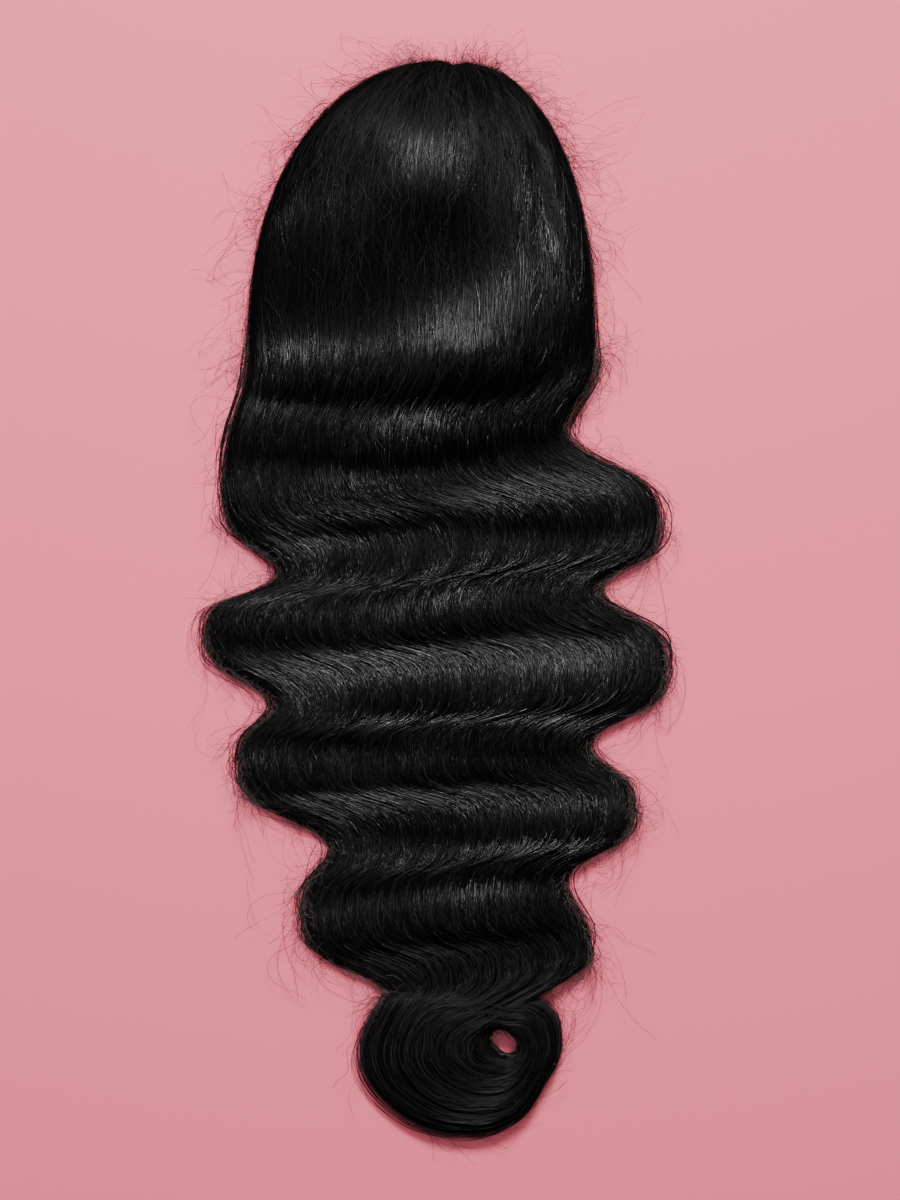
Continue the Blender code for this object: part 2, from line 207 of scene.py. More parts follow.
# How the strands lie. The hair's breadth, in metres, grows from the parting over the head and
# shrinks again with each station of the waves
PARTING_BREADTH, BREADTH_GROWTH, BREADTH_LOSS, LOSS_FROM_STATION = 0.06, 0.20, 0.012, 4
ROOT_LOOSENESS = 2.6
ROOT_SINK, ROOT_LENGTH = 0.0018, 0.030
SWEEP_SLOPE, SWEEP_LENGTHS = 0.08, (0.15, 0.40)
FRIZZ_LENGTHS = (0.03, 0.10)
WEAVE_LENGTHS = (0.03, 0.12)
LONG_LAG, WISP_LAG, LAG_SLOPE, LAG_LENGTHS = 0.0035, 0.0050, 0.10, (0.1, 0.3)
WISP_WEAVE = 0.03
CROWN_STRAY, WAVE_STRAY, STRAY_FROM_STATION = 0.008, 0.12, 0.8
LOWEST_STRAND = 0.0008
STRAND_ROLL = 9
STRAND_BOW = 1.1
# The strand map sets the strands this far apart, so that each gets a tone of its own
STRAND_TAG = 7.31
WISP_TAPER = (0.15, 0.25)
# Loose hairs: how far in they start, as a share of the breadth, and how far they may reach past
# the span and the length
EDGE_SEED = 0.005
ROOM_X, ROOM_Y = 0.018, 0.030


def mix(first, second, share):
    return first + (second - first) * share


def ease(share):
    share = np.clip(share, 0, 1)
    return share * share * (3 - 2 * share)


def unit(vectors):
    return vectors / np.maximum(np.linalg.norm(vectors, axis=-1, keepdims=True), 1e-12)


def smooth(values, place):
    """Catmull-Rom curve through evenly spaced values, read at places among them."""
    values = np.asarray(values, float)
    start = np.clip(np.floor(place).astype(int), 0, len(values) - 2)
    before = values[np.maximum(start - 1, 0)]
    after = values[np.minimum(start + 2, len(values) - 1)]
    return catmull(before, values[start], values[start + 1], after, place - start)


def catmull(before, first, second, after, share):
    slope_in, slope_out = (second - before) / 2, (after - first) / 2
    bend = 3 * (second - first) - 2 * slope_in - slope_out
    twist = 2 * (first - second) + slope_in + slope_out
    return first + share * (slope_in + share * (bend + share * twist))


def leave_lobe(share, fullness):
    """Way from a lobe, 0, to a notch, 1: a steep sine, nearer the notch for a fuller lobe."""
    left = np.maximum(0, 1 - share) ** fullness
    steep = left - LOBE_STEEPNESS * np.sin(TURN * left)
    return (1 + np.cos(math.pi * steep)) / 2


def wave_share(share, from_lobe, fullness):
    leaving, arriving = leave_lobe(share, fullness), 1 - leave_lobe(1 - share, fullness)
    return np.where(from_lobe, leaving, arriving)


def head_reach(station):
    turn = np.clip(station, 0, 1) * math.pi / 2
    return HEAD_REACH * (1 - np.maximum(0, np.cos(turn)) ** (2 / HEADLINE_POWER))


def head_plan(station, across):
    """Plan position on the head part, whose strands fan out from the parting."""
    spread = np.sin(np.clip(station, 0, 1) * math.pi / 2) ** (2 / HEADLINE_POWER)
    reach = head_reach(station)
    x = mix(PARTING_X, mix(HEAD_LEFT, HEAD_RIGHT, across), spread)
    beside = np.maximum(0, 1 - np.abs(x - PARTING_X) / PARTING_WIDTH)
    behind = np.maximum(0, 1 - reach / (2 * PARTING_WIDTH))
    return x, FRONT_Y - reach - PARTING_DIP * beside**2 * behind


def wave_plan(station, across):
    """Plan position on the waves: both edges swing, and the strands between follow them."""
    left_x = np.r_[HEAD_LEFT, WAVES[:, 1] * WAVE_SPAN]
    right_x = np.r_[HEAD_RIGHT, WAVES[:, 3] * WAVE_SPAN]
    place = np.clip(station - 1, 0, len(WAVES))
    start = np.minimum(place.astype(int), len(WAVES) - 1)
    share = place - start
    inner = 1 - np.abs(2 * np.clip(across, 0, 1) - 1) ** 2
    fullness = mix(LOBE_FULLNESS, 1, inner)
    left_share = wave_share(share, start % 2 == 1, np.where(start == 0, 1, fullness))
    right_share = wave_share(share, start % 2 == 0, fullness)
    left = mix(left_x[start], left_x[start + 1], left_share)
    right = mix(right_x[start], right_x[start + 1], right_share)
    swayed = place + SWAY * inner * np.sin(TURN * share) / TURN * ease(place)
    left_reach = smooth(np.r_[0, WAVES[:, 0]] * WAVE_LENGTH, swayed)
    right_reach = smooth(np.r_[0, WAVES[:, 2]] * WAVE_LENGTH, swayed)
    return mix(left, right, across), FRONT_Y - HEAD_REACH - mix(left_reach, right_reach, across)


def curl_reach(direction):
    """Distance from the eye's centre to the curl's outer edge."""
    turned = SEAT_END + (direction - SEAT_END) % 360
    angles, reaches = CURL_EDGE[:, 0], CURL_EDGE[:, 1]
    last = len(angles) - 2
    start = np.clip(np.searchsorted(angles, turned, side="right") - 1, 0, last)
    share = (turned - angles[start]) / (angles[start + 1] - angles[start])
    looped = np.r_[reaches[last], reaches, reaches[1]]
    return CURL_RADIUS * catmull(*(looped[start + step] for step in range(4)), share)


def eye_reach(direction):
    swing = np.cos(np.radians(2 * (direction - EYE_DIRECTION)))
    return EYE_RADIUS * (1 + EYE_STRETCH * swing)


def coil_plan(direction, inward):
    """Plan position in the curl: inward is 0 at its outer edge and 1 at the eye."""
    reach = mix(curl_reach(direction), eye_reach(direction), inward)
    turn = np.radians(direction)
    return EYE_CENTRE[0] + reach * np.cos(turn), EYE_CENTRE[1] + reach * np.sin(turn)


def coil_inward(station, across):
    """How far in a strand of the curl lies: it winds slowly inwards."""
    wound = np.maximum(0, station - COIL_START)
    inside = np.clip(across, 0, 1)
    start = COIL_OUTSIDE + COIL_SPREAD * inside**COIL_PACKING
    left = (1 - start) * np.exp(-COIL_WIND * wound * (COIL_WIND_OUTSIDE + inside))
    return 1 - left + np.minimum(across, 0)


def coil_direction(station):
    return COIL_ENTRY + COIL_STEP * (station - COIL_START)


def join_plan(station, across):
    """Plan position between the last crest and the curl, on a smooth turn into the coil."""
    share = np.clip(station - LAST_CREST, 0, 1)
    step = 0.02
    from_x, from_y = wave_plan(np.full_like(share, LAST_CREST), across)
    before_x, before_y = wave_plan(np.full_like(share, LAST_CREST - step), across)
    entry = np.full_like(share, float(COIL_START))
    to_x, to_y = coil_plan(coil_direction(entry), coil_inward(entry, across))
    next_x, next_y = coil_plan(
        coil_direction(entry + step), coil_inward(entry + step, across)
    )
    first = 2 * share**3 - 3 * share**2 + 1
    second = share**3 - 2 * share**2 + share
    third = -2 * share**3 + 3 * share**2
    fourth = share**3 - share**2
    x = first * from_x + second * (from_x - before_x) / step
    y = first * from_y + second * (from_y - before_y) / step
    x += third * to_x + fourth * (next_x - to_x) / step * JOIN_PULL
    y += third * to_y + fourth * (next_y - to_y) / step * JOIN_PULL
    return x, y


def plan(station, across):
    """Plan position of a strand: station 0 is the parting, 1 the head's widest row, then one
    station for each crest of the waves, one more to the curl, and on round the eye."""
    head = head_plan(station, across)
    waves = wave_plan(station, across)
    joining = join_plan(station, across)
    coil = coil_plan(coil_direction(station), coil_inward(station, across))
    places = []
    for axis in range(2):
        place = np.where(station <= 1, head[axis], waves[axis])
        place = np.where(station > LAST_CREST, joining[axis], place)
        places.append(np.where(station > COIL_START, coil[axis], place))
    return places


def crown_fall(place, across):
    """Share of the crown's height at a step of its fall to the nape, for a strand."""
    rows = (FALL_LEFT, FALL_MIDDLE, FALL_RIGHT)
    left, middle, right = (smooth(row, place) for row in rows)
    middle = mix(left, middle, ease((across - LEFT_END) / FALL_BLEND))
    return mix(middle, right, ease((across - RIGHT_START) / FALL_BLEND))


def thickness(station, across):
    """Height of the hair's top without its ridges."""
    reach = head_reach(station)
    climb = np.minimum(1, reach / APEX_REACH)
    rise = (1 - (1 - climb) ** FRONT_POWER) ** (1 / FRONT_POWER)
    steps = len(FALL_LEFT) - 1
    place = steps * np.clip((reach - APEX_REACH) / (HEAD_REACH - APEX_REACH), 0, 1)
    head = CROWN_HEIGHT * crown_fall(place, across) * np.where(climb < 1, rise, 1)
    nape = CROWN_HEIGHT * FALL_LEFT[-1]
    rows = np.r_[nape, WAVES[:, 4] * WAVE_THICKNESS, END_THICKNESS * WAVE_THICKNESS]
    beyond = smooth(rows, np.clip(station - 1, 0, len(rows) - 1))
    return np.where(station <= 1, head, beyond)


def ridges(x, y):
    """Height of the ridges that cross the hair, whose front slopes are the steeper ones."""
    total = 0
    side = x / (WAVE_SPAN / 2)
    for number, (left, middle, right, *breadths, skew) in enumerate(RIDGES):
        bend = (left + right) / 2 - middle
        top = middle + (right - left) / 2 * side + bend * side**2
        top = top + RIDGE_WANDER * np.sin(WANDER_SWING * side + WANDER_TURN * number)
        front = WIG_LENGTH * np.interp(side, (-1, 1), breadths[:2])
        uneven = 1 + RIDGE_UNEVENNESS * np.sin(UNEVEN_SWING * side + UNEVEN_TURN * number)
        rise = RIDGE_SLOPE * front * np.interp(side, (-1, 0, 1), breadths[2:]) * uneven
        ahead = y - (FRONT_Y - top * WIG_LENGTH)
        back = RIDGE_BACK * front * (1 - BACK_LOSS * skew)
        total = total + rise * bell(ahead, front, back, skew)
    return total - RIDGE_SINK


def bell(ahead, front, back, skew=0.0):
    """A raised cosine: 1 at its top and 0 at its front and back feet. With skew, its front
    steepens up to the top."""
    apart = np.clip(np.where(ahead > 0, ahead / front, ahead / back), -1, 1)
    even = (1 + np.cos(math.pi * apart)) / 2
    return np.where(ahead > 0, mix(even, (1 - apart) ** 2, skew), even)


def mound(x, y):
    """Height of the smooth mound on the crown."""
    beside = ease((MOUND_HALF - np.abs(x - MOUND_X)) / MOUND_FADE)
    return MOUND_RISE * beside * bell(y - MOUND_Y, MOUND_FRONT, MOUND_BACK)


def crease(x, y):
    """How near a place is to the crease: 1 in its middle, and below 0 on its right side."""
    length = np.linalg.norm(CREASE_BACK - CREASE_FRONT)
    ahead = (CREASE_BACK - CREASE_FRONT) / length
    along = (x - CREASE_FRONT[0]) * ahead[0] + (y - CREASE_FRONT[1]) * ahead[1]
    beside = (x - CREASE_FRONT[0]) * ahead[1] - (y - CREASE_FRONT[1]) * ahead[0]
    within = ease(1 + along / CREASE_END) * ease(1 + (length - along) / CREASE_END)
    right = -beside / CREASE_WIDTH
    lock = LOCK_RISE * np.exp(-((right - LOCK_PLACE) ** 2) / LOCK_BREADTH)
    return within * (np.exp(-(right**2)) - lock)


def gleam(station, across, x, y):
    """How smoothly the hair is combed: 1 where it gleams in full."""
    reach = FRONT_Y - y + COMBED_RIGHT * ease((x - RIGHT_FROM_X) / RIGHT_FADE)
    combed = ease((reach - COMBED_FROM) / (COMBED_TO - COMBED_FROM))
    tidy = np.maximum(combed, mound(x, y) / MOUND_RISE)
    full = mix(ROOT_GLEAM, 1, np.maximum(tidy, -LOCK_GLEAM * crease(x, y)))
    inside = mix(EDGE_GLEAM, 1, ease(np.minimum(across, 1 - across) * EDGE_PARTS))
    full = full * mix(inside, 1, ease(station - EDGE_FROM_STATION))
    return mix(full, CURL_GLEAM, ease(station - LAST_CREST + 1.0))


def off_parting(station):
    """0 at the parting, where the locks begin, and 1 from half way over the head."""
    return np.clip(station * 2, 0, 1)


def lock_phase(station, seed, count, drift, phase):
    wander = LOCK_WANDER * np.sin(drift * station + phase)
    wander = wander + LOCK_QUIVER * np.sin(QUIVER_RATE * station * drift + 2 * phase)
    return TURN * (count * seed + wander) + phase


def gathered(station, seed):
    """Where a strand lies across the hair once the locks have drawn the strands together."""
    across = seed
    inner = np.clip(np.minimum(seed, 1 - seed) * GATHER_PARTS, 0, 1) * off_parting(station)
    for count, gather, _, drift, phase in LOCKS:
        swing = np.sin(lock_phase(station, seed, count, drift, phase))
        across = across + inner * gather * swing / (TURN * count)
    return across


def lock_height(station, seed):
    """Relief of the locks, highest where their strands are drawn together."""
    total = 0
    for count, _, height, drift, phase in LOCKS:
        total = total - height * np.cos(lock_phase(station, seed, count, drift, phase))
    return LOCK_RELIEF * total * off_parting(station)


def surface_up(across, power):
    return np.maximum(0, 1 - np.abs(2 * np.clip(across, 0, 1) - 1) ** power) ** (1 / power)


def coil_height(direction, inward):
    outer = curl_reach(direction)
    height = CURL_THICKNESS * mix(CURL_INNER_SHARE, 1.0, outer / CURL_RADIUS)
    up = surface_up(1 - inward, SHEET_POWER)
    turns = COIL_RELIEF * np.cos(TURN * (COIL_TURNS * inward - direction / 360))
    fine = TURN * (COIL_FINE_TURNS * inward - 2 * direction / 360) + 1.0
    fine = COIL_FINE_RELIEF * np.cos(fine)
    return mix(EDGE_LIFT * height, height, up) + (turns + fine) * up


def surface(station, seed, lag=0.0):
    """Points of the hair's top. A strand with a lag meets the ridges a little further on."""
    across = gathered(station, seed)
    x, y = plan(station, across)
    power = mix(DOME_POWER, SHEET_POWER, np.clip(station - 1, 0, 1))
    full = thickness(np.minimum(station, COIL_START), across)
    up = surface_up(across, power)
    sheet = mix(EDGE_LIFT * full, full, up)
    relief = ridges(x, y + lag) + mound(x, y + lag) + lock_height(station, seed)
    relief = relief - CREASE_DEPTH * crease(x, y)
    sheet = sheet + relief * up
    direction = coil_direction(np.maximum(station, COIL_START))
    coil = coil_height(direction, coil_inward(station, across))
    z = mix(sheet, coil, ease(station - LAST_CREST))
    beyond = np.maximum(-across, across - 1)
    z = z * (1 - STRAY_DROP * ease(beyond / STRAY_BREADTH))
    return np.stack([x, y, z], axis=-1)


def station_table():
    """Even steps along the hair: the stations at equal distances down the middle strand."""
    fine = np.linspace(0, LAST_STATION, 3201)
    middle = surface(fine, np.full_like(fine, 0.4))
    steps = np.linalg.norm(np.diff(middle, axis=0), axis=1)
    return fine, np.r_[0, np.cumsum(steps)]


STATIONS, DISTANCES = station_table()


def new_object(name, points, faces, material, uv=None, normals=None, shine=None):
    """A smooth mesh from arrays: faces is a list of arrays with one row for each face."""
    mesh = bpy.data.meshes.new(name)
    loops = np.concatenate([block.ravel() for block in faces])
    sizes = np.concatenate([np.full(len(block), block.shape[1]) for block in faces])
    starts = np.r_[0, np.cumsum(sizes)[:-1]]
    mesh.vertices.add(len(points))
    mesh.vertices.foreach_set("co", np.asarray(points, np.float32).ravel())
    mesh.loops.add(len(loops))
    mesh.loops.foreach_set("vertex_index", loops.astype(np.int32))
    mesh.polygons.add(len(sizes))
    mesh.polygons.foreach_set("loop_start", starts.astype(np.int32))
    mesh.polygons.foreach_set("loop_total", sizes.astype(np.int32))
    mesh.update(calc_edges=True)
    mesh.shade_smooth()
    if uv is not None:
        layer = mesh.uv_layers.new(name="strands")
        layer.uv.foreach_set("vector", np.asarray(uv, np.float32)[loops].ravel())
    if shine is not None:
        mesh.attributes.new("shine", "FLOAT", "POINT")
        mesh.attributes["shine"].data.foreach_set("value", np.asarray(shine, np.float32).ravel())
    if normals is not None:
        mesh.normals_split_custom_set_from_vertices(normals.tolist())
    mesh.materials.append(material)
    made = bpy.data.objects.new(name, mesh)
    bpy.context.scene.collection.objects.link(made)
    return made


class Nodes:
    """A short way to build a material's node tree."""

    def __init__(self, name):
        self.material = bpy.data.materials.new(name)
        self.material.use_nodes = True
        self.tree = self.material.node_tree
        self.shader = self.tree.nodes["Principled BSDF"]

    def add(self, kind, **values):
        node = self.tree.nodes.new(kind)
        for name, value in values.items():
            if name in node.inputs:
                node.inputs[name].default_value = value
            else:
                setattr(node, name, value)
        return node

    def link(self, source, target):
        self.tree.links.new(source, target)

    def set(self, **values):
        for name, value in values.items():
            self.shader.inputs[name.replace("_", " ")].default_value = value

    def mapped(self, scale, coordinates="strands"):
        """Texture coordinates, scaled: of the strand map, or of the object."""
        if coordinates == "strands":
            source = self.add("ShaderNodeUVMap", uv_map="strands").outputs["UV"]
        else:
            source = self.add("ShaderNodeTexCoord").outputs["Object"]
        mapping = self.add("ShaderNodeMapping", Scale=scale)
        self.link(source, mapping.inputs["Vector"])
        return mapping.outputs["Vector"]

    def noise(self, scale, detail=3.0, coordinates="strands"):
        node = self.add("ShaderNodeTexNoise", Scale=1.0, Detail=detail)
        self.link(self.mapped(scale, coordinates), node.inputs["Vector"])
        return node.outputs["Fac"]

    def mask(self, factor, black, white):
        """A ramp from black to white between two values of the factor."""
        stops = [(black, (0.0, 0.0, 0.0)), (white, (1.0, 1.0, 1.0))]
        if black > white:
            stops.reverse()
        return self.ramp(factor, stops)

    def ramp(self, factor, stops):
        node = self.add("ShaderNodeValToRGB")
        elements = node.color_ramp.elements
        while len(elements) < len(stops):
            elements.new(0.5)
        for element, (position, colour) in zip(elements, stops):
            element.position = position
            element.color = (*colour, 1.0)
        self.link(factor, node.inputs["Fac"])
        return node.outputs["Color"]

    def wave(self, place, direction, period):
        """Even waves along one axis of the object, from 0 to 1, one each period in metres."""
        node = self.add("ShaderNodeTexWave", bands_direction=direction, Scale=TURN / 20 / period)
        self.link(place, node.inputs["Vector"])
        return node.outputs["Fac"]

    def cells(self, place, size):
        """Distance from the walls of cells of that size in metres, as a share of the size."""
        node = self.add("ShaderNodeTexVoronoi", feature="DISTANCE_TO_EDGE", Scale=1 / size)
        node.inputs["Randomness"].default_value = 0.35
        self.link(place, node.inputs["Vector"])
        return node.outputs["Distance"]

    def blend(self, factor, first, second):
        """Mixes two colours, each an output or a plain colour."""
        node = self.add("ShaderNodeMix", data_type="RGBA")
        self.link(factor, node.inputs["Factor"])
        for name, colour in (("A", first), ("B", second)):
            socket = next(s for s in node.inputs if s.name == name and s.type == "RGBA")
            if isinstance(colour, tuple):
                socket.default_value = (*colour, 1.0)
            else:
                self.link(colour, socket)
        return next(s for s in node.outputs if s.type == "RGBA")

    def bump(self, height, distance, under=None):
        node = self.add("ShaderNodeBump", Distance=distance, Strength=1.0)
        self.link(height, node.inputs["Height"])
        if under is not None:
            self.link(under, node.inputs["Normal"])
        return node.outputs["Normal"]


def hair_body_material():
    """Dense strands: streaks that follow the strand map, in bump and in colour."""
    nodes = Nodes("hair_body")
    nodes.set(Roughness=0.40, Metallic=0.0, Specular_IOR_Level=0.15)
    coarse = nodes.noise((260.0, 5.0, 1.0), 2.0)
    fine = nodes.noise((1300.0, 9.0, 1.0), 3.0)
    colour = nodes.ramp(fine, [(0.3, (0.0008, 0.0007, 0.0007)), (0.75, (0.004, 0.0035, 0.0034))])
    nodes.link(colour, nodes.shader.inputs["Base Color"])
    clumps = nodes.bump(coarse, 0.0012)
    strands = nodes.bump(fine, 0.0006, under=clumps)
    nodes.link(strands, nodes.shader.inputs["Normal"])
    return nodes.material


def strand_material():
    """Single strands, each a little lighter or browner than the next."""
    nodes = Nodes("hair_strand")
    nodes.set(Roughness=0.34, Metallic=0.0)
    shine = nodes.add("ShaderNodeAttribute", attribute_name="shine").outputs["Fac"]
    level = nodes.add("ShaderNodeMath", operation="MULTIPLY")
    level.inputs[1].default_value = 0.42
    nodes.link(shine, level.inputs[0])
    nodes.link(level.outputs["Value"], nodes.shader.inputs["Specular IOR Level"])
    tone = nodes.noise((1.0, 14.0, 1.0), 2.0)
    stops = [
        (0.25, (0.0006, 0.0006, 0.0006)),
        (0.60, (0.0025, 0.0023, 0.0023)),
        (0.90, (0.010, 0.0078, 0.0070)),
    ]
    nodes.link(nodes.ramp(tone, stops), nodes.shader.inputs["Base Color"])
    return nodes.material


def painted_sheen_wisp_material():
    """Stray hairs over the rest. Their lighter tone is a painted sheen, standing in for the light
    they catch, so that they show where the hair lies in shade.
    """
    nodes = Nodes("hair_wisp_painted_sheen")
    nodes.set(Roughness=0.38, Metallic=0.0, Specular_IOR_Level=0.12)
    tone = nodes.noise((1.0, 14.0, 1.0), 2.0)
    # Painted sheen: these tones are lighter than the strands' own, so the stray hairs look lit
    # even in shade
    stops = [
        (0.30, (0.003, 0.0028, 0.0028)),
        (0.60, (0.014, 0.0125, 0.0125)),
        (0.85, (0.044, 0.035, 0.032)),
    ]
    nodes.link(nodes.ramp(tone, stops), nodes.shader.inputs["Base Color"])
    return nodes.material


def flyaway_material():
    nodes = Nodes("hair_flyaway")
    nodes.set(Roughness=0.45, Metallic=0.0)
    tone = nodes.noise((1.0, 20.0, 1.0), 1.0)
    stops = [(0.3, (0.010, 0.006, 0.0055)), (0.7, (0.032, 0.017, 0.015))]
    nodes.link(nodes.ramp(tone, stops), nodes.shader.inputs["Base Color"])
    return nodes.material


def lace_material():
    """Fine lace net, with the small dark knots of the hairs tied into it."""
    nodes = Nodes("cap_lace")
    nodes.set(Roughness=0.85, Metallic=0.0)
    place = nodes.add("ShaderNodeTexCoord").outputs["Object"]
    holes = nodes.cells(place, 0.0013)
    thread = nodes.mask(holes, 0.16, 0.06)
    tones = [(0.3, (0.34, 0.21, 0.17)), (0.7, (0.46, 0.30, 0.245))]
    patches = nodes.ramp(nodes.noise((60.0, 60.0, 60.0), 3.0, "object"), tones)
    knots = nodes.add("ShaderNodeTexVoronoi", Scale=1 / 0.0022)
    nodes.link(place, knots.inputs["Vector"])
    knot = nodes.mask(knots.outputs["Distance"], 0.17, 0.10)
    net = nodes.blend(thread, (0.12, 0.075, 0.06), patches)
    nodes.link(nodes.blend(knot, net, (0.03, 0.018, 0.014)), nodes.shader.inputs["Base Color"])
    weave = nodes.bump(thread, 0.0004)
    nodes.link(nodes.bump(knot, 0.0004, under=weave), nodes.shader.inputs["Normal"])
    return nodes.material


def net_material():
    """Stretch net with rows of sewn wefts across it, and an elastic band along its rim."""
    nodes = Nodes("cap_net")
    nodes.set(Roughness=0.8, Metallic=0.0)
    place = nodes.add("ShaderNodeTexCoord").outputs["Object"]
    holes = nodes.cells(place, 0.0019)
    thread = nodes.mask(holes, 0.18, 0.07)
    net = nodes.blend(thread, (0.012, 0.010, 0.010), (0.060, 0.053, 0.050))
    rows = nodes.mask(nodes.wave(place, "Y", 0.009), 0.62, 0.80)
    tones = [(0.3, (0.004, 0.0035, 0.0035)), (0.8, (0.035, 0.029, 0.027))]
    stitches = nodes.ramp(nodes.wave(place, "X", 0.0024), tones)
    sewn = nodes.blend(rows, net, stitches)
    height = nodes.add("ShaderNodeSeparateXYZ")
    nodes.link(place, height.inputs["Vector"])
    rim = nodes.add("ShaderNodeMapRange")
    nodes.link(height.outputs["Z"], rim.inputs["Value"])
    for name, value in (("From Min", 0.0075), ("From Max", 0.0065)):
        rim.inputs[name].default_value = value
    tones = [(0.2, (0.030, 0.026, 0.025)), (0.8, (0.095, 0.085, 0.08))]
    ribs = nodes.ramp(nodes.wave(place, "Z", 0.0011), tones)
    nodes.link(nodes.blend(rim.outputs["Result"], sewn, ribs), nodes.shader.inputs["Base Color"])
    weave = nodes.bump(thread, 0.0004)
    nodes.link(nodes.bump(rows, 0.0012, under=weave), nodes.shader.inputs["Normal"])
    return nodes.material


def grid_faces(index):
    """Quads between the neighbours in a grid of vertex numbers."""
    corners = (index[:-1, :-1], index[:-1, 1:], index[1:, 1:], index[1:, :-1])
    return np.stack(corners, axis=-1).reshape(-1, 4)


def upward(paths):
    """A vector straight up for each point."""
    ups = np.zeros_like(paths)
    ups[..., 2] = 1
    return ups


def ribbons(name, paths, ups, widths, shine, material):
    """One mesh of flat strands. paths and ups are (strand, point, 3), widths and shine (strand,
    point). Their normals bow from edge to edge, so that each strand gleams as a round one does."""
    count, length = paths.shape[:2]
    along = unit(np.gradient(paths, axis=1))
    side = unit(np.cross(along, ups))
    up = unit(np.cross(side, along))
    half = side * (widths / 2)[..., None]
    points = np.stack([paths - half, paths + half], axis=2).reshape(-1, 3)
    points[:, 2] = np.maximum(points[:, 2], UNDERSIDE)
    normals = (unit(up - STRAND_BOW * side), unit(up + STRAND_BOW * side))
    normals = np.stack(normals, axis=2).reshape(-1, 3)
    steps = np.linalg.norm(np.diff(paths, axis=1, prepend=paths[:, :1]), axis=2)
    tag = np.arange(count)[:, None] * STRAND_TAG + np.zeros((count, length))
    uv = np.stack([tag, np.cumsum(steps, axis=1)], axis=-1)
    uv = np.repeat(uv[:, :, None], 2, axis=2).reshape(-1, 2)
    index = np.arange(count * length * 2).reshape(count, length, 2)
    left, right = index[:, :, 0], index[:, :, 1]
    corners = (left[:, :-1], right[:, :-1], right[:, 1:], left[:, 1:])
    quads = np.stack(corners, axis=-1).reshape(-1, 4)
    shine = np.repeat(np.broadcast_to(shine, (count, length))[:, :, None], 2, axis=2)
    return new_object(name, points, [quads], material, uv, normals, shine)


def taper(shares, root=0.04, tip=0.10):
    """Width along a strand as a share: thin at its root and at its tip."""
    return np.clip(np.minimum(shares / root, (1 - shares) / tip), 0.08, 1)


def ragged(count, low, high):
    """A random number for each strand, as a column."""
    return random.uniform(low, high, (count, 1))


def waver(distance, slope, wavelengths):
    """A swing along each strand, in metres, with a wavelength and a slope of its own."""
    count = len(distance)
    length = ragged(count, *wavelengths)
    size = random.normal(0, slope, (count, 1)) * length / TURN
    return size * np.sin(TURN * (distance / length + ragged(count, 0, 1)))


def strand_paths(start, end, seed, spacing, weave, frizz, lag_size, lift):
    """Strands that follow the hair from their start to their end, both in metres along it."""
    count = len(start)
    segments = int(np.max(end - start) / spacing)
    shares = np.linspace(0, 1, segments + 1)[None, :]
    distance = mix(start[:, None], end[:, None], shares)
    station = np.interp(distance, DISTANCES, STATIONS)
    breadth = PARTING_BREADTH + BREADTH_GROWTH * off_parting(station)
    breadth = breadth - BREADTH_LOSS * np.maximum(station - LOSS_FROM_STATION, 0)
    loose = mix(ROOT_LOOSENESS, 1, np.clip(station, 0, 1))
    sideways = waver(distance, SWEEP_SLOPE, SWEEP_LENGTHS)
    sideways = sideways + waver(distance, frizz, FRIZZ_LENGTHS)
    stray = mix(CROWN_STRAY, WAVE_STRAY, ease(station - STRAY_FROM_STATION))
    across = np.clip(seed[:, None] + sideways * loose / breadth, -stray, 1 + stray)
    lag = random.normal(0, lag_size, (count, 1)) + waver(distance, LAG_SLOPE, LAG_LENGTHS)
    base = surface(station, across, lag)
    step, ahead = 0.004, 0.01
    over = surface(station, across + step, lag) - surface(station, across - step, lag)
    forward = surface(station + ahead, across, lag)
    forward = forward - surface(np.maximum(station - ahead, 0), across, lag)
    ups = unit(np.cross(over, forward))
    ups = np.where(ups[..., 2:] < 0, -ups, ups)
    shine = gleam(station, across, base[..., 0], base[..., 1])
    height = waver(distance, weave, WEAVE_LENGTHS) + ragged(count, *lift)
    height = height - ROOT_SINK * np.clip(1 - (distance - start[:, None]) / ROOT_LENGTH, 0, 1)
    base = base + ups * height[..., None]
    base[..., 2] = np.maximum(base[..., 2], LOWEST_STRAND)
    roll = np.tan(np.radians(random.normal(0, STRAND_ROLL, (count, 1, 1))))
    ups = unit(ups + roll * unit(np.cross(ups, forward)))
    return base, ups, shares, shine


def along_hair(low, high, count):
    """Random places along the hair between two stations, in metres."""
    return np.interp(random.uniform(low, high, count), STATIONS, DISTANCES)


def long_strands(name, count, spacing, widths, lift, weave, frizz, material):
    """Strands from the head to the curl, some more of them near the edges. Nearly half start at
    the parting and the rest at any place over the head."""
    at_parting = random.uniform(0, 1, count) < 0.45
    start = np.where(at_parting, along_hair(0.03, 0.20, count), along_hair(0.15, 1.3, count))
    end = along_hair(9.0, 14.5, count)
    even = random.uniform(0.002, 0.998, count)
    rounded = (1 - np.cos(math.pi * random.uniform(0.0, 1.0, count))) / 2
    seed = np.where(random.uniform(0, 1, count) < 0.6, even, rounded)
    paths, ups, shares, shine = strand_paths(
        start, end, seed, spacing, weave, frizz, LONG_LAG, lift
    )
    width = ragged(count, *widths) * taper(shares)
    return ribbons(name, paths, ups, width, shine, material)


